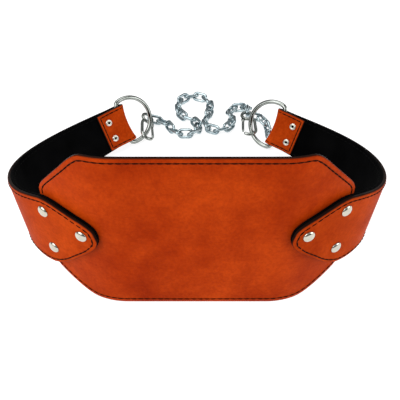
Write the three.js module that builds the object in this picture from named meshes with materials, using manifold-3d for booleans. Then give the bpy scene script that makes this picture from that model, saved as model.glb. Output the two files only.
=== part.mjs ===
// A leather dip belt: a stiff back panel, two long straps riveted to it that curl round
// and fold over a steel ring each, and a chain with a snap hook at each ring.
// Millimetres, Z up, the panel's outer face toward -Y, the belt standing on its edges.
import * as THREE from 'three';
import { mergeVertices } from 'three/addons/utils/BufferGeometryUtils.js';
import Module from 'manifold-3d';

const wasm = await Module();
wasm.setup();

// Leather sheets
const GAP = 0.3;
const PANEL_HEIGHT = 150;
const PANEL_HALF = 127;
const PANEL_LEATHER = 2.2;
const PANEL_LINING = 1.0;
const PANEL_LEAN = 5.85;
const STRAP_LEATHER = 2.8;
const LINING_TOP = -0.25;
const LINING_BOTTOM = -2.75;
const STRAP_LIFT = 3.05;
const LIFT_OFF = 45;
const FLUSH_RUN = 15;
const TAPER_START = 44;
const STATION_STEP = 9;
const STEP = 2;
const LINE_STEP = 0.5;
const ACROSS = 4;

// Metal pieces
const RING_WIRE = 4.6;
const RING_RADIUS = 24.3;
const RING_MIDDLE = 8.5;
const RING_OPEN = 102;
const FOLD_RADIUS = 4.15;
const FOLD_RUN = 14;
const FOLD_EASE = 7;
const BAR_DEPTH = -1.5;
const TAB_LENGTH = 31;
const TAB_DEPTH = -4.4;
const TAB_NARROW = 0.93;
const TAB_STATIONS = [7, 13, 18, 24];
const CAP_RADIUS = 5;
const CAP_HEIGHT = 2.4;
const CAP_RIM = 0.4;
const CAP_BANDS = 3;
const DISC_RADIUS = 4;
const DISC_HOLE = 1.15;
const DISC_HEIGHT = 1.1;
const LATHE_SIDES = 12;
const WIRE_SIDES = 8;
const LINK_SIDES = 6;
const CHAIN_WIRE = 2.75;
const LINK_LENGTH = 18.55;
const LINK_WIDTH = 11.05;
const HOOK_WIRE = 3;
const EYE_RADIUS = 6.2;
const BOW_RADIUS = 7.2;
const BOW_DISTANCE = 25.6;
const HINGE_X = 7.6;
const HINGE_Y = 5.4;
const GATE_RADIUS = 1.35;
const LUG_RADIUS = 2.1;
const LUG_THICK = 1.6;
const CHEEK_THICK = 0.9;
const PIN_RADIUS = 0.75;
const PIN_SIDES = 10;
const CHEEK_HALF = 1.6;
const CHEEK_REACH = 1.5;

// Half of the panel, by distance from its middle: lower and upper edge heights
const PANEL_EDGE = [
  { out: 0, low: 0, high: 1 }, { out: 0.18, low: 0, high: 1 }, { out: 0.36, low: 0, high: 1 },
  { out: 0.46, low: 0, high: 1 }, { out: 0.5, low: 0, high: 1 }, { out: 0.54, low: 0, high: 1 },
  { out: 0.58, low: 0, high: 1 }, { out: 0.615, low: 0, high: 1 }, { out: 0.645, low: 0, high: 0.998 },
  { out: 0.672, low: 0.002, high: 0.989 }, { out: 0.7, low: 0.008, high: 0.971 },
  { out: 0.735, low: 0.019, high: 0.945 }, { out: 0.77, low: 0.034, high: 0.913 },
  { out: 0.805, low: 0.05, high: 0.883 }, { out: 0.84, low: 0.067, high: 0.853 },
  { out: 0.875, low: 0.085, high: 0.823 }, { out: 0.91, low: 0.103, high: 0.793 },
  { out: 0.94, low: 0.118, high: 0.767 }, { out: 0.965, low: 0.132, high: 0.744 },
  { out: 0.985, low: 0.15, high: 0.722 }, { out: 1, low: 0.184, high: 0.69 },
];

// How far the panel has turned back, in degrees, by distance from its middle
const PANEL_TURN = [
  { out: 0, turn: 0 }, { out: 0.46, turn: 0 }, { out: 0.63, turn: 20 },
  { out: 0.827, turn: 29.5 }, { out: 1.024, turn: 38 }, { out: 1.35, turn: 50 },
];

// The straps: where the tip rivet sits, the slope, the length and the two widths
const STRAPS = {
  left: { side: -1, x: 86.4, z: 77, slope: 15.93, length: 275.2, wide: 63.4, narrow: 39.6 },
  right: { side: 1, x: 82.8, z: 78.2, slope: 15.22, length: 271.2, wide: 63.6, narrow: 38.9 },
};

// Turn and twist along each strap, in degrees if kept up over the whole length
const STRAP_BEND = {
  left: [
    { along: 0.16, turn: 171, twist: 26 }, { along: 0.29, turn: 162, twist: 4 },
    { along: 0.42, turn: 172, twist: -23 }, { along: 0.545, turn: 192, twist: -22 },
    { along: 0.67, turn: 141, twist: -18 }, { along: 0.8, turn: 71, twist: -11 },
    { along: 0.93, turn: 22, twist: -4 }, { along: 1.05, turn: -3, twist: -2 },
  ],
  right: [
    { along: 0.16, turn: 130, twist: 20 }, { along: 0.29, turn: 178, twist: 8 },
    { along: 0.42, turn: 144, twist: -3 }, { along: 0.545, turn: 170, twist: -17 },
    { along: 0.67, turn: 188, twist: -26 }, { along: 0.8, turn: 101, twist: -26 },
    { along: 0.93, turn: 14, twist: -18 }, { along: 1.05, turn: -8, twist: -10 },
  ],
};

// The blunt tip on the panel, from the tip rivet: edges as shares of the half width
const TIP = [
  { at: -11, upper: 0.06, lower: -0.14 }, { at: -10.2, upper: 0.15, lower: -0.24 },
  { at: -8, upper: 0.26, lower: -0.36 }, { at: -4, upper: 0.39, lower: -0.47 },
  { at: 2, upper: 0.54, lower: -0.57 }, { at: 9, upper: 0.71, lower: -0.68 },
  { at: 16, upper: 0.86, lower: -0.78 }, { at: 22, upper: 0.95, lower: -0.88 },
  { at: 28, upper: 1, lower: -0.97 }, { at: 36, upper: 1, lower: -1.05 },
  { at: 44, upper: 1, lower: -1.08 }, { at: 54, upper: 1, lower: -1.06 },
  { at: 66, upper: 1, lower: -1.02 }, { at: 80, upper: 1, lower: -1 },
];

// Domed rivets through strap and panel: distance along the strap and across it
const CAP_RIVETS = {
  left: [
    { name: 'tip', along: 0, across: 0 }, { name: 'upper', along: 29, across: 19.5 },
    { name: 'lower', along: 36.3, across: -17.1 },
  ],
  right: [
    { name: 'tip', along: 0, across: 0 }, { name: 'upper', along: 27.2, across: 20.7 },
    { name: 'lower', along: 34.7, across: -16.7 },
  ],
};

// Ring rivets through strap and folded tab: distance before the fold and across
const TAB_RIVETS = [
  { name: 'upper', before: 21.5, across: 9 }, { name: 'lower', before: 21.5, across: -9 },
];

// Where each link starts: across, back, height and the link's roll about its length.
// The chain begins and ends at the hooks' eyes; the loose tail ends at its last row.
const CHAIN_START_ROLL = 76;
const CHAIN_JOINTS = [
  [-43, 239.6, 4.9, 157], [-33.3, 233.4, 5.2, 62], [-27.3, 222.7, 5.2, 148], [-19, 215.3, 6.1, 54],
  [-6.7, 214, 7.4, 141], [0.2, 220.3, 6.6, 45], [2, 230.9, 4.6, 135], [-4.1, 241.4, 4.4, 45],
  [-14.1, 246.3, 4.8, 135], [-20.8, 255.3, 4.8, 45], [-22, 266.2, 4.5, 135], [-20, 277.9, 5, 45],
  [-12.4, 285.7, 4.7, 136], [-1.6, 287.9, 4.5, 45], [8.8, 283.1, 4.7, 135], [15, 273.1, 4.7, 45],
  [15.8, 261.1, 4.9, 135], [12.4, 249.3, 5.1, 45], [9.1, 238.5, 4.5, 135], [12.8, 227, 4.4, 44],
  [21.9, 221.5, 5.7, 137], [32.2, 223.1, 6.8, 45], [39.7, 232.8, 6.2, 142], [39.7, 243.5, 5, 60],
  [38.4, 255.8, 5.3, 158], [42.8, 261.8, 6.2, 75], [55.3, 260.5, 8.5, 173], [58.3, 254.7, 11, 90],
];
const TAIL_START_ROLL = 90;
const TAIL_JOINTS = [
  [72.4, 235.9, 11.1, 172], [77.8, 230.8, 8.3, 75], [80.7, 219.5, 4.8, 157], [80.9, 208.7, 4.9, 0],
];

// The ring's corners beside the fold, in shares of its radius: from the bar and across
const RING_CORNERS = [
  { ahead: 0.0494, across: 0.9218 }, { ahead: 0.0082, across: 0.8313 }, { ahead: 0, across: 0.7407 },
];

// The hook's back between its eye and its bow
const HOOK_SPINE = [
  { ahead: 4.65, side: -4.09 }, { ahead: 8, side: -6.4 },
  { ahead: 12, side: -BOW_RADIUS }, { ahead: 18, side: -BOW_RADIUS },
];

// The lug that carries the gate, from the hinge pin
const HOOK_LUG = [
  { ahead: -4.5, side: -1.68 }, { ahead: -2.64, side: -3.4 }, { ahead: 0.6, side: -LUG_RADIUS },
  { ahead: LUG_RADIUS, side: 0 }, { ahead: 0.6, side: LUG_RADIUS }, { ahead: -1.6, side: 1.5 },
];

// The hooks: place on the ring, the way from bow to eye, the gate's side, how far the hook
// rolls about its length, and where the chain and its loose tail leave the eye, in degrees
const HOOKS = {
  left: { around: -61, pitch: [-0.06, 0.99, 0.07], gate: 1, roll: -16, chain: 115 },
  right: { around: -38, pitch: [-0.02, 0.99, 0], gate: -1, roll: 17, chain: 180, tail: -95 },
};
const SEAT = { ahead: -0.2, side: -2 };
const EYE_HOLD = 4.6;

const finish = {
  leather: { color: 0xb83a0e, roughness: 0.55, metalness: 0 },
  strap: { color: 0xbe4b23, roughness: 0.5, metalness: 0 },
  suede: { color: 0x0a0a0a, roughness: 0.95, metalness: 0 },
  nickel: { color: 0xd8d6d0, roughness: 0.25, metalness: 1 },
  zinc: { color: 0xaab4bb, roughness: 0.35, metalness: 1 },
};

const belt = new THREE.Group();
const radians = THREE.MathUtils.degToRad;

function add(name, geometry, look, matrix) {
  const mesh = new THREE.Mesh(geometry, new THREE.MeshStandardMaterial(finish[look]));
  mesh.name = name;
  if (matrix) mesh.applyMatrix4(matrix);
  belt.add(mesh);
  return mesh;
}

function lookUp(table, key, column, at) {
  if (at <= table[0][key]) return table[0][column];
  for (let i = 1; i < table.length; i += 1) {
    const [a, b] = [table[i - 1], table[i]];
    if (at <= b[key]) {
      return a[column] + ((b[column] - a[column]) * (at - a[key])) / (b[key] - a[key]);
    }
  }
  return table[table.length - 1][column];
}

function geometryOf(points, triangles) {
  let volume = 0;
  for (let i = 0; i < triangles.length; i += 3) {
    const [a, b, c] = [points[triangles[i]], points[triangles[i + 1]], points[triangles[i + 2]]];
    volume += a.dot(b.clone().cross(c));
  }
  const faces = volume < 0 ? [...triangles].reverse() : triangles;
  const geometry = new THREE.BufferGeometry();
  geometry.setAttribute('position', new THREE.Float32BufferAttribute(points.flatMap((p) => p.toArray()), 3));
  geometry.setIndex(faces);
  geometry.computeVertexNormals();
  return geometry;
}

// A sheet between two grids of points, closed along its four edges
function sheet(front, back) {
  const rows = front.length;
  const columns = front[0].length;
  const points = [...front.flat(), ...back.flat()];
  const id = (layer, i, j) => layer * rows * columns + i * columns + j;
  const triangles = [];
  const quad = (a, b, c, d) => triangles.push(a, b, c, a, c, d);
  for (let i = 1; i < rows; i += 1) {
    for (let j = 1; j < columns; j += 1) {
      quad(id(0, i - 1, j - 1), id(0, i, j - 1), id(0, i, j), id(0, i - 1, j));
      quad(id(1, i - 1, j - 1), id(1, i - 1, j), id(1, i, j), id(1, i, j - 1));
    }
    quad(id(0, i, 0), id(0, i - 1, 0), id(1, i - 1, 0), id(1, i, 0));
    quad(id(0, i - 1, columns - 1), id(0, i, columns - 1), id(1, i, columns - 1), id(1, i - 1, columns - 1));
  }
  for (let j = 1; j < columns; j += 1) {
    quad(id(0, 0, j - 1), id(0, 0, j), id(1, 0, j), id(1, 0, j - 1));
    quad(id(0, rows - 1, j), id(0, rows - 1, j - 1), id(1, rows - 1, j - 1), id(1, rows - 1, j));
  }
  return geometryOf(points, triangles);
}

// Round wire along a flat path, closed on itself or with flat ends
function wire(path, radius, sides, closed) {
  const count = path.length;
  const points = [];
  const triangles = [];
  path.forEach((at, i) => {
    const before = closed || i > 0 ? path[(i + count - 1) % count] : at;
    const after = closed || i < count - 1 ? path[(i + 1) % count] : at;
    const along = after.clone().sub(before).normalize();
    const one = at.clone().sub(before);
    const two = after.clone().sub(at);
    const lean = one.lengthSq() && two.lengthSq() ? one.angleTo(two) / 2 : 0;
    const across = new THREE.Vector2(along.y, -along.x).multiplyScalar(radius / Math.cos(lean));
    for (let k = 0; k < sides; k += 1) {
      const turn = (2 * Math.PI * (k + 0.5)) / sides;
      points.push(new THREE.Vector3(
        at.x + across.x * Math.cos(turn), at.y + across.y * Math.cos(turn), radius * Math.sin(turn),
      ));
    }
  });
  for (let i = 0; i < (closed ? count : count - 1); i += 1) {
    for (let k = 0; k < sides; k += 1) {
      const a = i * sides + k;
      const b = i * sides + ((k + 1) % sides);
      const c = ((i + 1) % count) * sides + ((k + 1) % sides);
      const d = ((i + 1) % count) * sides + k;
      triangles.push(a, b, c, a, c, d);
    }
  }
  if (!closed) {
    for (let k = 1; k < sides - 1; k += 1) {
      triangles.push(0, k + 1, k);
      const last = (count - 1) * sides;
      triangles.push(last, last + k, last + k + 1);
    }
  }
  return geometryOf(points, triangles);
}

function arc(x, y, radius, from, to, steps) {
  return Array.from({ length: steps + 1 }, (_, i) => {
    const turn = radians(from + ((to - from) * i) / steps);
    return new THREE.Vector2(x + radius * Math.cos(turn), y + radius * Math.sin(turn));
  });
}

function solid(geometry) {
  const bare = geometry.clone();
  bare.deleteAttribute('normal');
  bare.deleteAttribute('uv');
  const merged = mergeVertices(bare, 1e-4);
  return new wasm.Manifold(new wasm.Mesh({
    numProp: 3, vertProperties: new Float32Array(merged.attributes.position.array),
    triVerts: new Uint32Array(merged.index.array),
  }));
}

function fromSolid(shape) {
  const { vertProperties, triVerts } = shape.getMesh();
  const geometry = new THREE.BufferGeometry();
  geometry.setAttribute('position', new THREE.BufferAttribute(vertProperties, 3));
  geometry.setIndex(new THREE.BufferAttribute(triVerts, 1));
  geometry.computeVertexNormals();
  return geometry;
}

// Panel surface: out from the middle on one side, up, and off the outer face
const LEAN = new THREE.Matrix4().makeRotationX(-radians(PANEL_LEAN));
const panelTurn = (out) => radians(lookUp(PANEL_TURN, 'out', 'turn', out / PANEL_HALF));
const panelLine = [{ out: 0, x: 0, y: 0 }];
while (panelLine[panelLine.length - 1].out < PANEL_HALF * PANEL_TURN[PANEL_TURN.length - 1].out) {
  const { out, x, y } = panelLine[panelLine.length - 1];
  const turn = panelTurn(out + LINE_STEP / 2);
  panelLine.push({
    out: out + LINE_STEP, x: x + LINE_STEP * Math.cos(turn), y: y + LINE_STEP * Math.sin(turn),
  });
}

function panelFlat(out, up, off) {
  const turn = panelTurn(out);
  return new THREE.Vector3(
    lookUp(panelLine, 'out', 'x', out) + Math.sin(turn) * off,
    lookUp(panelLine, 'out', 'y', out) - Math.cos(turn) * off,
    up,
  );
}

function panelPoint(out, up, off) {
  const point = panelFlat(Math.abs(out), up, off).applyMatrix4(LEAN);
  point.x *= Math.sign(out) || 1;
  return point;
}

function panelSheet(front, back) {
  const half = PANEL_EDGE.map(({ out, low, high }) => ({ out: out * PANEL_HALF, low, high }));
  const columns = [...half.slice(1).reverse().map((e) => ({ ...e, out: -e.out })), ...half];
  const grid = (off) => columns.map(({ out, low, high }) => {
    const level = panelFlat(Math.abs(out), 0, off).y * Math.tan(radians(PANEL_LEAN));
    return [panelPoint(out, PANEL_HEIGHT * low + level, off), panelPoint(out, PANEL_HEIGHT * high, off)];
  });
  return sheet(grid(front), grid(back));
}

// Strap frames: along, across (up) and out, on the right side and mirrored for the left
function strapFrames(name) {
  const strap = STRAPS[name];
  const slope = radians(strap.slope);
  const frames = [];
  const first = TIP[0].at - 2;
  for (let at = first; at <= strap.length + 4; at += STEP) {
    if (at <= LIFT_OFF) {
      const out = strap.x + at * Math.cos(slope);
      const turn = panelTurn(out);
      const level = new THREE.Vector3(Math.cos(turn), Math.sin(turn), 0);
      const up = new THREE.Vector3(0, 0, 1);
      frames.push({
        at,
        place: panelFlat(out, strap.z - at * Math.sin(slope), STRAP_LIFT).applyMatrix4(LEAN),
        along: level.clone().multiplyScalar(Math.cos(slope)).addScaledVector(up, -Math.sin(slope))
          .applyMatrix4(LEAN),
        across: up.clone().multiplyScalar(Math.cos(slope)).addScaledVector(level, Math.sin(slope))
          .applyMatrix4(LEAN),
        out: new THREE.Vector3(Math.sin(turn), -Math.cos(turn), 0).applyMatrix4(LEAN),
      });
    } else {
      const last = frames[frames.length - 1];
      const share = (at - STEP / 2) / strap.length;
      const turn = radians(lookUp(STRAP_BEND[name], 'along', 'turn', share) / strap.length) * STEP;
      const twist = radians(lookUp(STRAP_BEND[name], 'along', 'twist', share) / strap.length) * STEP;
      const spin = last.across.clone().multiplyScalar(turn).addScaledVector(last.along, -twist);
      const axis = spin.clone().normalize();
      const half = last.along.clone().applyAxisAngle(axis, spin.length() / 2);
      frames.push({
        at,
        place: last.place.clone().addScaledVector(half, STEP),
        along: last.along.clone().applyAxisAngle(axis, spin.length()),
        across: last.across.clone().applyAxisAngle(axis, spin.length()),
        out: last.out.clone().applyAxisAngle(axis, spin.length()),
      });
    }
  }
  return frames;
}

function frameAt(frames, at) {
  const i = Math.max(0, Math.min(frames.length - 2, Math.floor((at - frames[0].at) / STEP)));
  const share = (at - frames[i].at) / STEP;
  const mix = (key) => frames[i][key].clone().lerp(frames[i + 1][key], share);
  return { place: mix('place'), along: mix('along'), across: mix('across'), out: mix('out') };
}

function strapPoint(name, frames, at, across, off) {
  const strap = STRAPS[name];
  const frame = frameAt(frames, at);
  const point = frame.place.addScaledVector(frame.across, across).addScaledVector(frame.out, off);
  const free = THREE.MathUtils.smoothstep(at, LIFT_OFF - FLUSH_RUN, LIFT_OFF);
  if (free < 1) {
    const slope = radians(strap.slope);
    const out = strap.x + at * Math.cos(slope) + across * Math.sin(slope);
    const up = strap.z - at * Math.sin(slope) + across * Math.cos(slope);
    point.lerp(panelFlat(out, up, STRAP_LIFT + off).applyMatrix4(LEAN), 1 - free);
  }
  point.x *= strap.side;
  return point;
}

function halfWidth(name, at, edge) {
  const { length, wide, narrow } = STRAPS[name];
  const share = THREE.MathUtils.clamp((at - TAPER_START) / (length - TAPER_START), 0, 1);
  return (lookUp(TIP, 'at', edge, at) * (wide + (narrow - wide) * share)) / 2;
}

// Rows of points across the strap; many near the panel, where it follows the curve
function strapGrid(name, frames, path) {
  return path.map(({ at, off, wide }) => Array.from({ length: ACROSS + 1 }, (_, j) => {
    const low = halfWidth(name, at, 'lower') * wide;
    const high = halfWidth(name, at, 'upper') * wide;
    return strapPoint(name, frames, at, low + ((high - low) * j) / ACROSS, off);
  }));
}

function strapStations(until) {
  const near = TIP.map((row) => row.at);
  const last = near[near.length - 1];
  const count = Math.round((until - last) / STATION_STEP);
  return [...near, ...Array.from({ length: count }, (_, i) => last + ((until - last) * (i + 1)) / count)];
}

// The leather runs to the ring's bar, round it and back as a short tab
function strapPath(bar) {
  const middle = strapStations(bar - FOLD_RUN).map((at) => ({ at, off: STRAP_LEATHER / 2, wide: 1 }));
  const fold = arc(bar, BAR_DEPTH, FOLD_RADIUS, 90, -90, 8);
  const end = bar + FOLD_RADIUS + STRAP_LEATHER / 2 - TAB_LENGTH;
  const tail = [...TAB_STATIONS.map((back) => bar - back), end];
  return [
    ...middle,
    { at: bar - FOLD_EASE, off: (STRAP_LEATHER / 2 + BAR_DEPTH + FOLD_RADIUS) / 2, wide: 1 },
    ...fold.map((p) => ({ at: p.x, off: p.y, wide: 1 })),
    ...tail.map((at, i) => ({
      at, off: i ? TAB_DEPTH : (TAB_DEPTH + BAR_DEPTH - FOLD_RADIUS) / 2,
      wide: 1 + ((TAB_NARROW - 1) * (i + 1)) / tail.length,
    })),
  ];
}

function offsetPath(path, off) {
  return path.map((row, i) => {
    const before = path[Math.max(0, i - 1)];
    const after = path[Math.min(path.length - 1, i + 1)];
    const length = Math.hypot(after.at - before.at, after.off - before.off);
    const side = { at: -(after.off - before.off) / length, off: (after.at - before.at) / length };
    return { at: row.at + side.at * off, off: row.off + side.off * off, wide: row.wide };
  });
}

function basisAt(name, frames, at, across, off) {
  const frame = frameAt(frames, at);
  const place = strapPoint(name, frames, at, across, off);
  const ahead = strapPoint(name, frames, at + 1, across, off).sub(place).normalize();
  const up = strapPoint(name, frames, at, across + 1, off).sub(place).normalize();
  const out = frame.out;
  out.x *= STRAPS[name].side;
  const normal = ahead.clone().cross(up).normalize();
  if (normal.dot(out) < 0) normal.negate();
  return { place, along: ahead, across: up, normal };
}

function standing(base) {
  const side = base.across.clone().cross(base.normal).normalize();
  const front = side.clone().cross(base.normal).normalize();
  return new THREE.Matrix4().makeBasis(side, base.normal, front).setPosition(base.place);
}

function domeGeometry() {
  const sphere = (CAP_RADIUS ** 2 + CAP_HEIGHT ** 2) / (2 * CAP_HEIGHT);
  const profile = [new THREE.Vector2(0, 0), new THREE.Vector2(CAP_RADIUS - 0.3, 0)];
  for (let i = 0; i < CAP_BANDS; i += 1) {
    const radius = (CAP_RADIUS * (CAP_BANDS - i)) / CAP_BANDS;
    const rise = Math.sqrt(sphere ** 2 - radius ** 2) - sphere + CAP_HEIGHT;
    profile.push(new THREE.Vector2(radius, CAP_RIM + rise));
  }
  profile.push(new THREE.Vector2(0, CAP_RIM + CAP_HEIGHT));
  return new THREE.LatheGeometry(profile, LATHE_SIDES);
}

function discGeometry() {
  const profile = [
    new THREE.Vector2(DISC_HOLE, 0), new THREE.Vector2(DISC_RADIUS, 0),
    new THREE.Vector2(DISC_RADIUS, DISC_HEIGHT * 0.6), new THREE.Vector2(DISC_RADIUS * 0.8, DISC_HEIGHT),
    new THREE.Vector2(DISC_HOLE, DISC_HEIGHT), new THREE.Vector2(DISC_HOLE, 0),
  ];
  return new THREE.LatheGeometry(profile, LATHE_SIDES);
}

// The ring: a straight bar held in the fold and a round bow; X away from the bar
function ringPath() {
  const corner = RING_CORNERS.map((c) => new THREE.Vector2(c.ahead, c.across).multiplyScalar(RING_RADIUS));
  const mirrored = corner.map((p) => new THREE.Vector2(p.x, -p.y)).reverse();
  return [...arc(RING_MIDDLE, 0, RING_RADIUS, -RING_OPEN, RING_OPEN, 17), ...corner, ...mirrored];
}

function linkPath() {
  const radius = (LINK_WIDTH - CHAIN_WIRE) / 2;
  const straight = (LINK_LENGTH - CHAIN_WIRE) / 2 - radius;
  return [...arc(straight, 0, radius, -90, 90, 5), ...arc(-straight, 0, radius, 90, 270, 5)];
}

// A snap hook in its own plane: the eye at the origin, the bow ahead along X
function hookBody() {
  const eye = solid(wire(arc(0, 0, EYE_RADIUS, 0, 340, 17), HOOK_WIRE / 2, WIRE_SIDES, true));
  const spine = [
    ...HOOK_SPINE.map(({ ahead, side }) => new THREE.Vector2(ahead, side)),
    ...arc(BOW_DISTANCE, 0, BOW_RADIUS, -90, 52, 10),
  ];
  const arm = new THREE.Shape(
    HOOK_LUG.map(({ ahead, side }) => new THREE.Vector2(HINGE_X + ahead, HINGE_Y + side)),
  );
  const plate = new THREE.ExtrudeGeometry(arm, { depth: LUG_THICK, bevelEnabled: false });
  plate.translate(0, 0, -LUG_THICK / 2);
  const hole = new THREE.CylinderGeometry(PIN_RADIUS + GAP, PIN_RADIUS + GAP, 4 * LUG_THICK, PIN_SIDES);
  hole.rotateX(Math.PI / 2);
  hole.translate(HINGE_X, HINGE_Y, 0);
  const body = eye.add(solid(wire(spine, HOOK_WIRE / 2, WIRE_SIDES, false))).add(solid(plate));
  return fromSolid(body.subtract(solid(hole)));
}

// The gate: a round bar with two cheeks and a pin through the body's lug
function hookGate() {
  const tip = new THREE.Vector2(BOW_DISTANCE + BOW_RADIUS * Math.cos(radians(72)), BOW_RADIUS * 0.98);
  const start = new THREE.Vector2(HINGE_X + LUG_RADIUS + 1.6, HINGE_Y + 0.4);
  let gate = solid(wire([start, tip], GATE_RADIUS, WIRE_SIDES, false));
  const cheek = new THREE.Shape([
    new THREE.Vector2(HINGE_X - CHEEK_REACH, HINGE_Y - 0.9), new THREE.Vector2(HINGE_X, HINGE_Y - CHEEK_HALF),
    new THREE.Vector2(start.x + CHEEK_REACH, start.y - 1.1),
    new THREE.Vector2(start.x + CHEEK_REACH, start.y + 1.1),
    new THREE.Vector2(HINGE_X, HINGE_Y + CHEEK_HALF), new THREE.Vector2(HINGE_X - CHEEK_REACH, HINGE_Y + 0.9),
  ]);
  for (const side of [-1, 1]) {
    const plate = new THREE.ExtrudeGeometry(cheek, { depth: CHEEK_THICK, bevelEnabled: false });
    plate.translate(0, 0, side * (LUG_THICK / 2 + GAP + CHEEK_THICK / 2) - CHEEK_THICK / 2);
    gate = gate.add(solid(plate));
  }
  const pinLength = LUG_THICK + 2 * GAP + CHEEK_THICK;
  const pin = new THREE.CylinderGeometry(PIN_RADIUS, PIN_RADIUS, pinLength, PIN_SIDES);
  pin.rotateX(Math.PI / 2);
  pin.translate(HINGE_X, HINGE_Y, 0);
  return fromSolid(gate.add(solid(pin)));
}

function addStrap(name) {
  const frames = strapFrames(name);
  const bar = STRAPS[name].length - FOLD_RADIUS - STRAP_LEATHER / 2;
  const path = strapPath(bar);
  const grid = (rows) => strapGrid(name, frames, rows);
  add(`${name}_strap_leather`, sheet(
    grid(offsetPath(path, STRAP_LEATHER / 2)), grid(offsetPath(path, -STRAP_LEATHER / 2)),
  ), 'strap');
  const lining = strapStations(bar - FOLD_RUN).map((at) => ({ at, wide: 1 }));
  add(`${name}_strap_lining`, sheet(
    grid(lining.map((row) => ({ ...row, off: LINING_TOP }))),
    grid(lining.map((row) => ({ ...row, off: LINING_BOTTOM }))),
  ), 'suede');
  for (const { name: spot, along, across } of CAP_RIVETS[name]) {
    const base = basisAt(name, frames, along, across, STRAP_LEATHER + GAP);
    add(`${name}_rivet_${spot}`, domeGeometry(), 'nickel', standing(base));
  }
  for (const { name: spot, before, across } of TAB_RIVETS) {
    const at = STRAPS[name].length - before;
    const base = basisAt(name, frames, at, across, TAB_DEPTH - STRAP_LEATHER / 2 - GAP);
    base.normal.negate();
    add(`${name}_tab_rivet_${spot}`, discGeometry(), 'nickel', standing(base));
  }
  const hold = basisAt(name, frames, bar, 0, BAR_DEPTH);
  const third = hold.along.clone().cross(hold.across).normalize();
  const turned = new THREE.Matrix4().makeBasis(hold.along, hold.across, third).setPosition(hold.place);
  add(`${name}_d_ring`, wire(ringPath(), RING_WIRE / 2, WIRE_SIDES, true), 'zinc', turned);
  return { ...hold, third };
}

// A hook lies on its ring: bow round the wire, eye toward the chain
function addHook(name, hold) {
  const { around, pitch, gate, roll } = HOOKS[name];
  const turn = radians(around);
  const onRing = hold.place.clone()
    .addScaledVector(hold.along, RING_MIDDLE + RING_RADIUS * Math.cos(turn))
    .addScaledVector(hold.across, RING_RADIUS * Math.sin(turn));
  const run = hold.along.clone().multiplyScalar(-Math.sin(turn)).addScaledVector(hold.across, Math.cos(turn));
  const back = new THREE.Vector3(...pitch).normalize();
  const normal = run.clone().addScaledVector(back, -run.dot(back)).setLength(gate)
    .applyAxisAngle(back, radians(roll));
  const ahead = back.clone().negate();
  const side = normal.clone().cross(ahead).normalize();
  const place = onRing.clone().addScaledVector(ahead, -BOW_DISTANCE - SEAT.ahead)
    .addScaledVector(side, -SEAT.side);
  const matrix = new THREE.Matrix4().makeBasis(ahead, side, normal).setPosition(place);
  add(`${name}_snap_hook`, hookBody(), 'nickel', matrix);
  add(`${name}_snap_gate`, hookGate(), 'nickel', matrix);
  return { place, ahead, side, normal };
}

// The chain's first and last links pass round an eye, on the side the chain leaves it
function eyePoint(hook, leave) {
  return hook.place.clone().addScaledVector(hook.ahead, EYE_HOLD * Math.cos(radians(leave)))
    .addScaledVector(hook.side, EYE_HOLD * Math.sin(radians(leave)));
}

function addChain(name, joints, rolls) {
  rolls.forEach((roll, i) => {
    const along = joints[i + 1].clone().sub(joints[i]).normalize();
    const across = new THREE.Vector3(-along.y, along.x, 0).normalize().applyAxisAngle(along, radians(roll));
    const matrix = new THREE.Matrix4().makeBasis(along, across, along.clone().cross(across));
    matrix.setPosition(joints[i].clone().lerp(joints[i + 1], 0.5));
    const number = String(i + 1).padStart(2, '0');
    add(`${name}_${number}`, wire(linkPath(), CHAIN_WIRE / 2, LINK_SIDES, true), 'zinc', matrix);
  });
}

add('panel_leather', panelSheet(0, -PANEL_LEATHER), 'leather');
add('panel_lining', panelSheet(-PANEL_LEATHER - GAP, -PANEL_LEATHER - GAP - PANEL_LINING), 'suede');
const leftHook = addHook('left', addStrap('left'));
const rightHook = addHook('right', addStrap('right'));
const jointAt = ([x, y, z]) => new THREE.Vector3(x, y, z);
const rollOf = ([, , , roll]) => roll;
addChain('chain_link', [
  eyePoint(leftHook, HOOKS.left.chain), ...CHAIN_JOINTS.map(jointAt), eyePoint(rightHook, HOOKS.right.chain),
], [CHAIN_START_ROLL, ...CHAIN_JOINTS.map(rollOf)]);
addChain('tail_link', [
  eyePoint(rightHook, HOOKS.right.tail), ...TAIL_JOINTS.map(jointAt),
], [TAIL_START_ROLL, ...TAIL_JOINTS.slice(0, -1).map(rollOf)]);

const box = new THREE.Box3().setFromObject(belt, true);
const middle = box.getCenter(new THREE.Vector3());
belt.position.set(-middle.x, -middle.y, -box.min.z);

export default belt;
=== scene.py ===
import math
import bmesh
import bpy
import numpy as np
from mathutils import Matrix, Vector


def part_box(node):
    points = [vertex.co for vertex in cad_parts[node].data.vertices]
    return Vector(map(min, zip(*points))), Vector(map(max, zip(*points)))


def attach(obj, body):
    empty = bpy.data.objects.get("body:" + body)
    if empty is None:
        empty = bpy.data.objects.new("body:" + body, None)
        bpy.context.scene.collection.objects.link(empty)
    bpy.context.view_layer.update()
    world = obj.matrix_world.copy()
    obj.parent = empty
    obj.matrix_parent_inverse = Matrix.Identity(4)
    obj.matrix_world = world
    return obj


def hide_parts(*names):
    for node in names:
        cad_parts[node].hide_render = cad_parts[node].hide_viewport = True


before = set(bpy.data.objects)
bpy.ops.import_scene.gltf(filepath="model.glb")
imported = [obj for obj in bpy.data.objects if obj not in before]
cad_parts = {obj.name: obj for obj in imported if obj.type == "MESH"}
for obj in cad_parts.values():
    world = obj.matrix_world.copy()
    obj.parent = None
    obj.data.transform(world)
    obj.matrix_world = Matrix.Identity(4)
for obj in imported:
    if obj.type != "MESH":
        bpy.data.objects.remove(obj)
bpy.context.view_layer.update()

# Sizes in millimetres. The metal is a little heavier here than in the solids, and the tab discs smaller
PANEL_HEIGHT, PANEL_HALF, PANEL_LEAN = 150.0, 127.0, 5.85
PANEL_LEATHER, PANEL_LINING, GAP = 2.2, 1.0, 0.3
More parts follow.
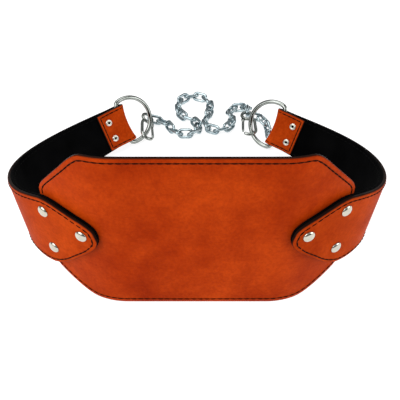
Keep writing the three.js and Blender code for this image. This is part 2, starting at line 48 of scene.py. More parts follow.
STRAP_LEATHER, LINING_TOP, LINING_BOTTOM = 2.8, -0.25, -2.75
STRAP_LIFT, LIFT_OFF, TAPER_START, STEP = 3.05, 45.0, 44.0, 2.0
RING_WIRE, RING_RADIUS, RING_MIDDLE, RING_OPEN = 4.7, 24.3, 8.5, 102.0
FOLD_RADIUS, BAR_DEPTH = 4.15, -1.5
TAB_LENGTH, TAB_DEPTH, TAB_NARROW = 31.0, -4.4, 0.93
CAP_RADIUS, CAP_HEIGHT = 5.0, 2.4
DISC_RADIUS, DISC_HOLE, DISC_HEIGHT = 3.5, 1.3, 1.1
CHAIN_WIRE, LINK_LENGTH, LINK_WIDTH = 3.25, 19.0, 11.5
HOOK_WIRE, EYE_RADIUS, BOW_RADIUS, BOW_DISTANCE = 3.6, 6.2, 7.2, 25.6
HINGE_X, HINGE_Y, GATE_RADIUS = 7.6, 5.4, 1.5
LUG_RADIUS, LUG_THICK, CHEEK_RADIUS, CHEEK_THICK, CHEEK_OFF = 2.1, 1.6, 1.7, 0.9, 1.55
STITCH_PITCH, STITCH_LENGTH, STITCH_INSET = 5.6, 4.4, 4.0
STRAP_INSET, TAB_INSET, FOLD_FLARE = 3.1, 2.7, 2.6
LEATHER_HALF = STRAP_LEATHER / 2
METRES = 0.001
LINE_STEP, LINE_REACH = 0.5, 1.36
FLUSH_RUN, FOLD_RUN, TAB_RUN, TIP_HALF = 15, 14, 12, 31.7
SUEDE_RISE, DARK_DEPTH = 0.2, 0.5
PANEL_COLUMNS, PANEL_ROWS, RIM_CLEAR = 42, 24, 4
FLARE_RISE, FLARE_SETTLE, FLARE_BACK = 13, 2, 0.3
STITCH_PROUD, GROOVE_DEPTH = 0.08, 0.3
SEAM_START, SEAM_END, SEAM_SPACING, PANEL_SPACING = 3, 12, 4, 3

PANEL_EDGE = [
    (0, 0, 1), (0.615, 0, 1), (0.645, 0, 0.998), (0.672, 0.002, 0.989), (0.7, 0.008, 0.971),
    (0.735, 0.019, 0.945), (0.77, 0.034, 0.913), (0.805, 0.05, 0.883), (0.84, 0.067, 0.853),
    (0.875, 0.085, 0.823), (0.91, 0.103, 0.793), (0.94, 0.118, 0.767), (0.965, 0.132, 0.744),
    (0.985, 0.15, 0.722), (1, 0.184, 0.69),
]
PANEL_TURN = [(0, 0), (0.46, 0), (0.63, 20), (0.827, 29.5), (1.024, 38), (1.35, 50)]
STRAPS = {
    "left": dict(side=-1, x=86.4, z=77, slope=15.93, length=275.2, wide=63.4, narrow=39.6),
    "right": dict(side=1, x=82.8, z=78.2, slope=15.22, length=271.2, wide=63.6, narrow=38.9),
}
STRAP_BEND = {
    "left": [(0.16, 171, 26), (0.29, 162, 4), (0.42, 172, -23), (0.545, 192, -22),
             (0.67, 141, -18), (0.8, 71, -11), (0.93, 22, -4), (1.05, -3, -2)],
    "right": [(0.16, 130, 20), (0.29, 178, 8), (0.42, 144, -3), (0.545, 170, -17),
              (0.67, 188, -26), (0.8, 101, -26), (0.93, 14, -18), (1.05, -8, -10)],
}
TIP = [
    (-11, 0.06, -0.14), (-10.2, 0.15, -0.24), (-8, 0.26, -0.36), (-4, 0.39, -0.47), (2, 0.54, -0.57),
    (9, 0.71, -0.68), (16, 0.86, -0.78), (22, 0.95, -0.88), (28, 1, -0.97),
    (36, 1, -1.05), (44, 1, -1.08), (54, 1, -1.06), (66, 1, -1.02), (80, 1, -1),
]
CAP_RIVETS = {
    "left": {"tip": (0, 0), "upper": (29, 19.5), "lower": (36.3, -17.1)},
    "right": {"tip": (0, 0), "upper": (27.2, 20.7), "lower": (34.7, -16.7)},
}
TAB_RIVETS = {"upper": (21.5, 9), "lower": (21.5, -9)}
HOOKS = {
    "left": dict(around=-61, pitch=(-0.06, 0.99, 0.07), gate=1, roll=-16),
    "right": dict(around=-38, pitch=(-0.02, 0.99, 0), gate=-1, roll=17),
}
SEAT = (-0.2, -2.0)

# The solids stand with the panel's foot here
low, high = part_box("panel_leather")
SHIFT = np.array([(low[0] + high[0]) / 2, low[1], low[2]]) / METRES


def column(table, at, index):
    return float(np.interp(at, [row[0] for row in table], [row[index] for row in table]))


def unit(v):
    return v / np.linalg.norm(v)


def turned(v, axis, angle):
    c, s = math.cos(angle), math.sin(angle)
    return v * c + np.cross(axis, v) * s + axis * np.dot(axis, v) * (1 - c)


def ease(t):
    return t * t * (3 - 2 * t)


def smooth(x, a, b):
    return ease(min(1.0, max(0.0, (x - a) / (b - a))))


# The panel's surface
lean = math.radians(PANEL_LEAN)
LEAN = np.array([[1, 0, 0], [0, math.cos(lean), math.sin(lean)], [0, -math.sin(lean), math.cos(lean)]])


def panel_turn(out):
    return math.radians(column(PANEL_TURN, out / PANEL_HALF, 1))


line_out = np.arange(0, PANEL_HALF * LINE_REACH, LINE_STEP)
line_turn = [panel_turn(u + LINE_STEP / 2) for u in line_out]
line_x = np.concatenate([[0], np.cumsum(LINE_STEP * np.cos(line_turn))])[:-1]
line_y = np.concatenate([[0], np.cumsum(LINE_STEP * np.sin(line_turn))])[:-1]


def panel_flat(out, up, off):
    turn = panel_turn(out)
    x = np.interp(out, line_out, line_x) + math.sin(turn) * off
    y = np.interp(out, line_out, line_y) - math.cos(turn) * off
    return np.array([x, y, up])


def panel_point(out, up, off):
    point = LEAN @ panel_flat(abs(out), up, off)
    return point * np.array([1 if out >= 0 else -1, 1, 1])


def foot_level(out):
    return panel_flat(abs(out), 0, 0)[1] * math.tan(lean)


# The straps' surfaces
def strap_frames(name):
    strap = STRAPS[name]
    slope = math.radians(strap["slope"])
    frames = []
    at = TIP[0][0] - 2.0
    while at <= strap["length"] + 4:
        if at <= LIFT_OFF:
            out = strap["x"] + at * math.cos(slope)
            turn = panel_turn(out)
            level = np.array([math.cos(turn), math.sin(turn), 0])
            up = np.array([0, 0, 1.0])
            place = LEAN @ panel_flat(out, strap["z"] - at * math.sin(slope), STRAP_LIFT)
            along = LEAN @ (level * math.cos(slope) - up * math.sin(slope))
            across = LEAN @ (up * math.cos(slope) + level * math.sin(slope))
            outward = LEAN @ np.array([math.sin(turn), -math.cos(turn), 0])
        else:
            share = (at - STEP / 2) / strap["length"]
            turn = math.radians(column(STRAP_BEND[name], share, 1) / strap["length"]) * STEP
            twist = math.radians(column(STRAP_BEND[name], share, 2) / strap["length"]) * STEP
            spin = across * turn - along * twist
            angle = np.linalg.norm(spin)
            axis = spin / angle
            place = place + turned(along, axis, angle / 2) * STEP
            along, across, outward = (turned(v, axis, angle) for v in (along, across, outward))
        frames.append((at, place, along, across, outward))
        at += STEP
    return frames


FRAMES = {name: strap_frames(name) for name in STRAPS}


def frame_at(name, at):
    frames = FRAMES[name]
    i = max(0, min(len(frames) - 2, int((at - frames[0][0]) // STEP)))
    share = (at - frames[i][0]) / STEP
    return [frames[i][k] * (1 - share) + frames[i + 1][k] * share for k in (1, 2, 3, 4)]


def strap_point(name, at, across, off):
    strap = STRAPS[name]
    place, _, up, outward = frame_at(name, at)
    point = place + up * across + outward * off
    free = smooth(at, LIFT_OFF - FLUSH_RUN, LIFT_OFF)
    if free < 1:
        slope = math.radians(strap["slope"])
        out = strap["x"] + at * math.cos(slope) + across * math.sin(slope)
        height = strap["z"] - at * math.sin(slope) + across * math.cos(slope)
        point = point * free + (LEAN @ panel_flat(out, height, STRAP_LIFT + off)) * (1 - free)
    return point * np.array([strap["side"], 1, 1])


def half_width(name, at, edge):
    strap = STRAPS[name]
    share = min(1, max(0, (at - TAPER_START) / (strap["length"] - TAPER_START)))
    full = strap["wide"] + (strap["narrow"] - strap["wide"]) * share
    return column(TIP, at, 1 if edge > 0 else 2) * full / 2


def basis_at(name, at, across, off):
    place = strap_point(name, at, across, off)
    ahead = unit(strap_point(name, at + 1, across, off) - place)
    up = unit(strap_point(name, at, across + 1, off) - place)
    outward = frame_at(name, at)[3] * np.array([STRAPS[name]["side"], 1, 1])
    normal = unit(np.cross(ahead, up))
    if normal @ outward < 0:
        normal = -normal
    return place, ahead, up, normal


# Where the ring's bar and the tab's end lie along the strap
def bar_station(name):
    return STRAPS[name]["length"] - FOLD_RADIUS - LEATHER_HALF


def tab_end(bar):
    return bar + FOLD_RADIUS + LEATHER_HALF - TAB_LENGTH


def tab_middle(bar, at):
    inner = BAR_DEPTH - FOLD_RADIUS
    return inner + (TAB_DEPTH - inner) * ease(min(1.0, (bar - at) / TAB_RUN))


# Mesh helpers
def to_world(points):
    return [tuple((np.asarray(p) + SHIFT) * METRES) for p in points]


def piece(name, points, faces, material, body="belt", replaces=(), edge=None):
    mesh = bpy.data.meshes.new(name)
    mesh.from_pydata(to_world(points), [], faces)
    mesh.validate()
    if edge is not None:
        shade = mesh.attributes.new("edge", "FLOAT", "POINT")
        shade.data.foreach_set("value", np.asarray(edge, dtype=np.float32))
    mesh.update()
    obj = bpy.data.objects.new(name, mesh)
    bpy.context.scene.collection.objects.link(obj)
    outward(mesh)
    for polygon in mesh.polygons:
        polygon.use_smooth = True
    mesh.materials.append(material)
    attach(obj, body)
    if replaces:
        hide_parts(*replaces)
    return obj


def outward(mesh):
    bm = bmesh.new()
    bm.from_mesh(mesh)
    bmesh.ops.recalc_face_normals(bm, faces=bm.faces)
    bm.to_mesh(mesh)
    bm.free()


# A sheet between two grids of points; edges are rounded by the grids themselves
def sheet(front, back):
    rows, columns = len(front), len(front[0])
    points = [p for row in front for p in row] + [p for row in back for p in row]
    def at(layer, i, j):
        return layer * rows * columns + i * columns + j
    faces = []
    for i in range(1, rows):
        for j in range(1, columns):
            faces.append((at(0, i - 1, j - 1), at(0, i, j - 1), at(0, i, j), at(0, i - 1, j)))
            faces.append((at(1, i - 1, j - 1), at(1, i - 1, j), at(1, i, j), at(1, i, j - 1)))
        faces.append((at(0, i, 0), at(0, i - 1, 0), at(1, i - 1, 0), at(1, i, 0)))
        faces.append((at(0, i - 1, columns - 1), at(0, i, columns - 1),
                      at(1, i, columns - 1), at(1, i - 1, columns - 1)))
    for j in range(1, columns):
        faces.append((at(0, 0, j - 1), at(0, 0, j), at(1, 0, j), at(1, 0, j - 1)))
        faces.append((at(0, rows - 1, j), at(0, rows - 1, j - 1), at(1, rows - 1, j - 1), at(1, rows - 1, j)))
    return points, faces


# Rounded rims: distance in from the edge and depth below the face
RIM = [(0, 0.9), (0.1, 0.6), (0.35, 0.28), (0.8, 0.08), (1.4, 0)]


def tube(path, radius, sides, closed):
    count = len(path)
    radii = radius if isinstance(radius, (list, tuple)) else [radius] * count
    points, faces = [], []
    for i, at in enumerate(path):
        at = np.asarray(at, float)
        before = np.asarray(path[i - 1] if closed or i > 0 else at, float)
        after = np.asarray(path[(i + 1) % count] if closed or i < count - 1 else at, float)
        along = unit(after - before)
        across = np.array([along[1], -along[0]])
        for k in range(sides):
            turn = 2 * math.pi * k / sides
            spot = at + across * radii[i] * math.cos(turn)
            points.append(np.array([spot[0], spot[1], radii[i] * math.sin(turn)]))
    for i in range(count if closed else count - 1):
        for k in range(sides):
            a, b = i * sides + k, i * sides + (k + 1) % sides
            c, d = ((i + 1) % count) * sides + (k + 1) % sides, ((i + 1) % count) * sides + k
            faces.append((a, b, c, d))
    if not closed:
        faces.append(tuple(range(sides - 1, -1, -1)))
        faces.append(tuple((count - 1) * sides + k for k in range(sides)))
    return points, faces


def lathe(profile, segments):
    points, faces, rings = [], [], []
    for radius, height in profile:
        if radius < 1e-6:
            rings.append([len(points)] * segments)
            points.append(np.array([0, height, 0]))
        else:
            rings.append(list(range(len(points), len(points) + segments)))
            for k in range(segments):
                turn = 2 * math.pi * k / segments
                points.append(np.array([radius * math.cos(turn), height, radius * math.sin(turn)]))
    for a, b in zip(rings[:-1], rings[1:]):
        for k in range(segments):
            n = (k + 1) % segments
            face = []
            for index in (a[k], a[n], b[n], b[k]):
                if index not in face:
                    face.append(index)
            faces.append(tuple(face))
    return points, faces


def join(*parts):
    points, faces = [], []
    for more_points, more_faces in parts:
        start = len(points)
        points += list(more_points)
        faces += [tuple(i + start for i in face) for face in more_faces]
    return points, faces


def placed(part, x, y, z, origin):
    points, faces = part
    basis = np.stack([x, y, z], 1)
    return [origin + basis @ np.asarray(p) for p in points], faces


def arc(x, y, radius, start, end, steps):
    turns = np.radians(np.linspace(start, end, steps + 1))
    return [(x + radius * math.cos(t), y + radius * math.sin(t)) for t in turns]


# Materials
def new_material(name):
    material = bpy.data.materials.new(name)
    material.use_nodes = True
    tree = material.node_tree
    shader = tree.nodes["Principled BSDF"]
    return material, tree, shader


def node(tree, kind, **values):
    made = tree.nodes.new(kind)
    for key, value in values.items():
        if key in made.inputs:
            made.inputs[key].default_value = value
        else:
            setattr(made, key, value)
    return made


def ramp(tree, source, stops):
    made = tree.nodes.new("ShaderNodeValToRGB")
    elements = made.color_ramp.elements
    while len(elements) < len(stops):
        elements.new(0.5)
    for element, (place, color) in zip(elements, stops):
        element.position = place
        element.color = (*color, 1)
    tree.links.new(source, made.inputs["Fac"])
    return made.outputs["Color"]


def mixed(tree, fac, a, b, mode="MIX"):
    made = tree.nodes.new("ShaderNodeMix")
    made.data_type = "RGBA"
    made.blend_type = mode
    for socket, value in ((made.inputs[0], fac), (made.inputs[6], a), (made.inputs[7], b)):
        if isinstance(value, bpy.types.NodeSocket):
            tree.links.new(value, socket)
        elif isinstance(value, (int, float)):
            socket.default_value = value
        else:
            socket.default_value = (*value, 1)
    return made.outputs[2]


def leather(name, light, dark, rim, shine, grain=1.0, roughness=0.42):
    material, tree, shader = new_material(name)
    where = tree.nodes.new("ShaderNodeTexCoord").outputs["Object"]
    cloud = node(tree, "ShaderNodeTexNoise", Scale=14.0, Detail=4.0, Roughness=0.6)
    fine = node(tree, "ShaderNodeTexNoise", Scale=420.0, Detail=3.0, Roughness=0.6)
    cells = node(tree, "ShaderNodeTexVoronoi", Scale=1100.0)
    for texture in (cloud, fine, cells):
        tree.links.new(where, texture.inputs["Vector"])
    color = ramp(tree, cloud.outputs["Fac"], [(0.34, dark), (0.64, light)])
    speckle = ramp(tree, fine.outputs["Fac"], [(0.35, (0.8, 0.76, 0.74)), (0.65, (1.1, 1.1, 1.1))])
    color = mixed(tree, 0.55, color, speckle, "MULTIPLY")
    blotch = node(tree, "ShaderNodeTexNoise", Scale=52.0, Detail=5.0, Roughness=0.65)
    tree.links.new(where, blotch.inputs["Vector"])
    patches = ramp(tree, blotch.outputs["Fac"], [(0.34, (0.8, 0.7, 0.66)), (0.66, (1.1, 1.14, 1.16))])
    color = mixed(tree, 0.75, color, patches, "MULTIPLY")
    drawn = node(tree, "ShaderNodeMapping", Scale=(26.0, 26.0, 90.0), Rotation=(0.5, 0.9, 0.3))
    tree.links.new(where, drawn.inputs["Vector"])
    crease = node(tree, "ShaderNodeTexNoise", Scale=1.0, Detail=5.0, Roughness=0.6)
    tree.links.new(drawn.outputs["Vector"], crease.inputs["Vector"])
    lines = ramp(tree, crease.outputs["Fac"],
                 [(0.47, (1, 1, 1)), (0.5, (0.84, 0.78, 0.74)), (0.53, (1, 1, 1))])
    color = mixed(tree, 0.35, color, lines, "MULTIPLY")
    edge = tree.nodes.new("ShaderNodeAttribute")
    edge.attribute_name = "edge"
    color = mixed(tree, edge.outputs["Fac"], color, rim)
    tree.links.new(color, shader.inputs["Base Color"])
    gloss = ramp(tree, cloud.outputs["Fac"], [(0.3, (roughness + 0.06,) * 3), (0.7, (roughness - 0.05,) * 3)])
    tree.links.new(gloss, shader.inputs["Roughness"])
    shader.inputs["Specular IOR Level"].default_value = shine
    first = node(tree, "ShaderNodeBump", Strength=0.18 * grain, Distance=0.0004)
    tree.links.new(cells.outputs["Distance"], first.inputs["Height"])
    second = node(tree, "ShaderNodeBump", Strength=0.12 * grain, Distance=0.0006)
    tree.links.new(fine.outputs["Fac"], second.inputs["Height"])
    tree.links.new(first.outputs["Normal"], second.inputs["Normal"])
    tree.links.new(second.outputs["Normal"], shader.inputs["Normal"])
    return material


def suede(name):
    material, tree, shader = new_material(name)
    where = tree.nodes.new("ShaderNodeTexCoord").outputs["Object"]
    nap = node(tree, "ShaderNodeTexNoise", Scale=900.0, Detail=4.0, Roughness=0.7)
    cloud = node(tree, "ShaderNodeTexNoise", Scale=40.0, Detail=3.0)
    for texture in (nap, cloud):
        tree.links.new(where, texture.inputs["Vector"])
    color = ramp(tree, cloud.outputs["Fac"],
                 [(0.3, (0.0008, 0.0008, 0.0009)), (0.7, (0.0028, 0.0028, 0.003))])
    tree.links.new(color, shader.inputs["Base Color"])
    shader.inputs["Roughness"].default_value = 0.95
    shader.inputs["Specular IOR Level"].default_value = 0.02
    bump = node(tree, "ShaderNodeBump", Strength=0.5, Distance=0.0003)
    tree.links.new(nap.outputs["Fac"], bump.inputs["Height"])
    tree.links.new(bump.outputs["Normal"], shader.inputs["Normal"])
    return material


def thread(name, color):
    material, tree, shader = new_material(name)
    where = tree.nodes.new("ShaderNodeTexCoord").outputs["Object"]
    twist = node(tree, "ShaderNodeTexNoise", Scale=1500.0, Detail=2.0)
    tree.links.new(where, twist.inputs["Vector"])
    tree.links.new(ramp(tree, twist.outputs["Fac"], [(0.3, tuple(c * 0.6 for c in color)), (0.7, color)]),
                   shader.inputs["Base Color"])
    shader.inputs["Roughness"].default_value = 0.85
    shader.inputs["Specular IOR Level"].default_value = 0.05
    bump = node(tree, "ShaderNodeBump", Strength=0.4, Distance=0.0002)
    tree.links.new(twist.outputs["Fac"], bump.inputs["Height"])
    tree.links.new(bump.outputs["Normal"], shader.inputs["Normal"])
    return material


def metal(name, light, dark, roughness, scratch=0.06):
    material, tree, shader = new_material(name)
    where = tree.nodes.new("ShaderNodeTexCoord").outputs["Object"]
    cloud = node(tree, "ShaderNodeTexNoise", Scale=120.0, Detail=4.0)
    fine = node(tree, "ShaderNodeTexNoise", Scale=1400.0, Detail=3.0)
    for texture in (cloud, fine):
        tree.links.new(where, texture.inputs["Vector"])
    color = ramp(tree, cloud.outputs["Fac"], [(0.35, dark), (0.65, light)])
    tree.links.new(color, shader.inputs["Base Color"])
    gloss = ramp(tree, cloud.outputs["Fac"], [(0.3, (roughness + 0.05,) * 3), (0.7, (roughness - 0.04,) * 3)])
    tree.links.new(gloss, shader.inputs["Roughness"])
    shader.inputs["Metallic"].default_value = 1.0
    bump = node(tree, "ShaderNodeBump", Strength=scratch, Distance=0.0002)
    tree.links.new(fine.outputs["Fac"], bump.inputs["Height"])
    tree.links.new(bump.outputs["Normal"], shader.inputs["Normal"])
    return material


PANEL_SKIN = leather("panel_skin", (0.54, 0.056, 0.003), (0.38, 0.030, 0.001), (0.020, 0.007, 0.004), 0.02)
STRAP_SKIN = leather("strap_skin", (0.54, 0.062, 0.005), (0.40, 0.036, 0.002), (0.016, 0.009, 0.007), 0.006)
SUEDE = suede("black_suede")
THREAD = thread("dark_thread", (0.016, 0.004, 0.002))
BLACK_THREAD = thread("black_thread", (0.003, 0.003, 0.003))
# Dark leather tone for the strips along the stitches: painted shade of the stitch grooves
GROOVE_SHADE = thread("painted_groove_shade", (0.13, 0.018, 0.003))
NICKEL = metal("polished_nickel", (0.60, 0.575, 0.48), (0.53, 0.505, 0.42), 0.17, 0.015)
ZINC = metal("bright_zinc", (0.47, 0.55, 0.57), (0.25, 0.32, 0.35), 0.17, 0.05)
RING_METAL = metal("ring_steel", (0.37, 0.39, 0.37), (0.24, 0.26, 0.24), 0.13, 0.012)
WASHER = metal("ivory_nickel", (0.78, 0.76, 0.67), (0.68, 0.66, 0.58), 0.32, 0.03)
# Matte black for the plugs in the washers' holes: painted shade of the deep holes
HOLE_SHADE = suede("painted_hole_shade")


# The panel: leather and lining
def panel_rows():
    marks = np.arange(-PANEL_HALF, PANEL_HALF + 0.1, PANEL_HALF / PANEL_COLUMNS)
    rows = [(-PANEL_HALF + i, d) for i, d in RIM[:-1]] + [(m, 0) for m in marks[1:-1]]
    return rows + [(PANEL_HALF - i, d) for i, d in reversed(RIM[:-1])]


def panel_grid(face, sign, rim=True):
    grid, edges = [], []
    for out, end_drop in panel_rows():
        share = abs(out) / PANEL_HALF
        level = panel_flat(abs(out), 0, face)[1] * math.tan(lean)
        bottom = PANEL_HEIGHT * column(PANEL_EDGE, share, 1) + level
        top = PANEL_HEIGHT * column(PANEL_EDGE, share, 2)
        heights = [(bottom + i, d) for i, d in RIM]
        heights += [(z, 0) for z in np.linspace(bottom + RIM_CLEAR, top - RIM_CLEAR, PANEL_ROWS)]
        heights += [(top - i, d) for i, d in reversed(RIM)]
        row, edge_row = [], []
        for z, drop in heights:
            depth = max(drop, end_drop) if rim else 0
            row.append(panel_point(out, z, face - sign * depth))
            edge_row.append(min(1.0, depth / DARK_DEPTH))
        grid.append(row)
        edges.append(edge_row)
    return grid, edges


def make_panel():
    front, front_edge = panel_grid(0, 1)
    back, back_edge = panel_grid(-PANEL_LEATHER, -1, False)
    points, faces = sheet(front, back)
    edge = [e for row in front_edge for e in row] + [1.0 for row in back_edge for e in row]
    piece("panel_leather_face", points, faces, PANEL_SKIN, replaces=("panel_leather",), edge=edge)
    top = -PANEL_LEATHER - GAP + SUEDE_RISE
    front, _ = panel_grid(top, 1, False)
    back, _ = panel_grid(-PANEL_LEATHER - GAP - PANEL_LINING, -1)
    points, faces = sheet(front, back)
    piece("panel_suede_back", points, faces, SUEDE, replaces=("panel_lining",))


# Straps: leather with its fold and tab, and the lining
def stations(until, step=3.0):
    marks = [TIP[0][0] + i for i, _ in RIM[1:]] + [-9.4, -8.6, -7.6, -6.4, -5, -3.4, -1.5]
    marks = [TIP[0][0]] + marks
    count = int((until - 1) / step)
    return marks + [1 + (until - 1) * k / count for k in range(count + 1)]


def strap_path(name):
    bar = bar_station(name)
    rows = [(at, LEATHER_HALF, 1.0) for at in stations(bar - FOLD_RUN)]
    outer = BAR_DEPTH + FOLD_RADIUS
    for k in range(1, 6):
        t = k / 6
        rows.append((bar - FOLD_RUN * (1 - t), LEATHER_HALF + (outer - LEATHER_HALF) * ease(t), 1.0))
    rows += [(x, y, 1.0) for x, y in arc(bar, BAR_DEPTH, FOLD_RADIUS, 90, -90, 18)]
    end = tab_end(bar)
    count = 14
    for k in range(1, count + 1):
        at = bar + (end - bar) * k / count
        rows.append((at, tab_middle(bar, at), 1 + (TAB_NARROW - 1) * k / count))
    last = rows.pop()
    rows += [(last[0] + i, last[1], last[2]) for i, _ in reversed(RIM)]
    return rows, bar


def end_drops(count):
    drops = [0.0] * count
    for i, (_, drop) in enumerate(RIM):
        drops[i] = drop
        drops[count - 1 - i] = drop
    return drops


def across_marks(low_edge, high_edge):
    width = high_edge - low_edge
    squeeze = min(1.0, width / 6)
    marks = [(low_edge + i * squeeze, d) for i, d in RIM]
    inner = np.linspace(low_edge + 3 * squeeze, high_edge - 3 * squeeze, 9)
    marks += [(b, 0) for b in inner]
    marks += [(high_edge - i * squeeze, d) for i, d in reversed(RIM)]
    return marks


# The fold's corners flare out past its middle
def fold_flare(name, at, across):
    strap = STRAPS[name]
    bar = bar_station(name)
    share = across / (strap["narrow"] / 2)
    return smooth(at, bar - FLARE_RISE, bar + FLARE_SETTLE) * (FOLD_FLARE * share * share - FLARE_BACK)


def strap_grid(name, rows, side, rim=True):
    grid, edges = [], []
    drops = end_drops(len(rows))
    for index, (at, off, wide) in enumerate(rows):
        row, edge_row = [], []
        a, b = rows[max(0, index - 1)], rows[min(len(rows) - 1, index + 1)]
        length = math.hypot(b[0] - a[0], b[1] - a[1])
        for across, drop in across_marks(half_width(name, at, -1) * wide, half_width(name, at, 1) * wide):
            depth = max(drop, drops[index]) if rim else 0
            reach = side * (LEATHER_HALF - depth)
            flare = fold_flare(name, at, across)
            row.append(strap_point(name, at + flare - (b[1] - a[1]) / length * reach, across,
                                   off + (b[0] - a[0]) / length * reach))
            edge_row.append(min(1.0, depth / DARK_DEPTH))
        grid.append(row)
        edges.append(edge_row)
    return grid, edges


def make_strap(name):
    rows, bar = strap_path(name)
    front, front_edge = strap_grid(name, rows, 1)
    back, back_edge = strap_grid(name, rows, -1, rim=False)
    points, faces = sheet(front, back)
    edge = [e for row in front_edge for e in row] + [1.0 for row in back_edge for e in row]
    piece(f"{name}_strap_face", points, faces, STRAP_SKIN, replaces=(f"{name}_strap_leather",), edge=edge)
    middle = (LINING_TOP + LINING_BOTTOM) / 2
    half = (LINING_TOP - LINING_BOTTOM) / 2
    front, back = [], []
    for at in stations(bar - FOLD_RUN):
        low_edge, high_edge = half_width(name, at, -1), half_width(name, at, 1)
        marks = across_marks(low_edge, high_edge)
        front.append([strap_point(name, at, b, middle + half + SUEDE_RISE) for b, d in marks])
        back.append([strap_point(name, at, b, middle - half + d * 0.8) for b, d in marks])
    points, faces = sheet(front, back)
    piece(f"{name}_strap_suede", points, faces, SUEDE, replaces=(f"{name}_strap_lining",))
    return bar


# Stitches along a line of points with their normals
def stitch_line(places, normals):
    places = [np.asarray(p, float) for p in places]
    steps = [np.linalg.norm(b - a) for a, b in zip(places[:-1], places[1:])]
    total = float(sum(steps))
    marks = np.concatenate([[0], np.cumsum(steps)])
    count = int(round(total / STITCH_PITCH))
    parts = []
    stack, directions = np.array(places), np.array(normals)
    def spot(at):
        at = min(max(at, 0), total)
        return np.array([np.interp(at, marks, stack[:, k]) for k in range(3)])
    for i in range(count):
        middle = (i + 0.5) * total / count
        start, end = spot(middle - STITCH_LENGTH / 2), spot(middle + STITCH_LENGTH / 2)
        normal = unit(np.array([np.interp(middle, marks, directions[:, k]) for k in range(3)]))
        along = unit(end - start)
        side = unit(np.cross(normal, along))
        normal = np.cross(along, side)
        length = np.linalg.norm(end - start)
        profile = [(0, -length / 2), (0.32, -length * 0.43), (0.5, -length / 4), (0.54, 0),
                   (0.5, length / 4), (0.32, length * 0.43), (0, length / 2)]
        centre = (start + end) / 2 + normal * STITCH_PROUD
        parts.append(placed(lathe(profile, 8), side, along, normal, centre))
    return parts


# The groove that the stitches press into the leather, as a thin dark strip of painted shade; the leather face
# under it stays flat
def groove_shade(places, normals, half=0.55, proud=0.05):
    points, faces = [], []
    for i, (place, normal) in enumerate(zip(places, normals)):
        a, b = places[max(0, i - 1)], places[min(len(places) - 1, i + 1)]
        side = unit(np.cross(normal, b - a)) * half
        points += [place + side - normal * GROOVE_DEPTH, place + side + normal * proud * 0.2,
                   place + normal * proud, place - side + normal * proud * 0.2,
                   place - side - normal * GROOVE_DEPTH]
    for i in range(len(places) - 1):
        for k in range(5):
            a, b = i * 5 + k, i * 5 + (k + 1) % 5
            faces.append((a, b, b + 5, a + 5))
    faces += [(4, 3, 2, 1, 0), tuple(len(points) - 5 + k for k in range(5))]
    return points, faces


def sewn(name, places, normals, material):
    points, faces = join(*stitch_line(places, normals))
    piece(f"{name}_stitches", points, faces, material)
    # The dark strip along the stitches is painted groove shade
    points, faces = groove_shade(places, normals)
    piece(f"{name}_groove", points, faces, GROOVE_SHADE)


def panel_stitches():
    ring = [(u * PANEL_HALF, hi * PANEL_HEIGHT) for u, lo, hi in PANEL_EDGE]
    ring += [(u * PANEL_HALF, lo * PANEL_HEIGHT) for u, lo, hi in reversed(PANEL_EDGE)]
    ring = [(u, z + foot_level(u) * (1 - z / PANEL_HEIGHT)) for u, z in ring]
    full = ring + [(-u, z) for u, z in reversed(ring) if u > 0]
    full = inset_ring(full, STITCH_INSET)
    dense = []
    for a, b in zip(full, full[1:] + full[:1]):
        steps = max(1, int(math.hypot(b[0] - a[0], b[1] - a[1]) / PANEL_SPACING))
        dense += [(a[0] + (b[0] - a[0]) * k / steps, a[1] + (b[1] - a[1]) * k / steps)
                  for k in range(steps)]
    dense.append(dense[0])
    places = [panel_point(u, z, 0) for u, z in dense]
    normals = [unit(panel_point(u, z, 1) - panel_point(u, z, 0)) for u, z in dense]
    sewn("panel", places, normals, THREAD)


def inset_ring(ring, inset):
    ring = [p for i, p in enumerate(ring)
            if i == 0 or math.hypot(p[0] - ring[i - 1][0], p[1] - ring[i - 1][1]) > 0.3]
    middle = np.mean(np.array(ring), axis=0)
    made = []
    count = len(ring)
    for i in range(count):
        a, b, c = (np.array(ring[(i + k) % count]) for k in (-1, 0, 1))
        along = unit(unit(b - a) + unit(c - b))
        normal = np.array([-along[1], along[0]])
        if normal @ (middle - b) < 0:
            normal = -normal
        bend = max(0.35, math.sqrt((1 + unit(b - a) @ unit(c - b)) / 2))
        made.append(tuple(b + normal * inset / bend))
    return made


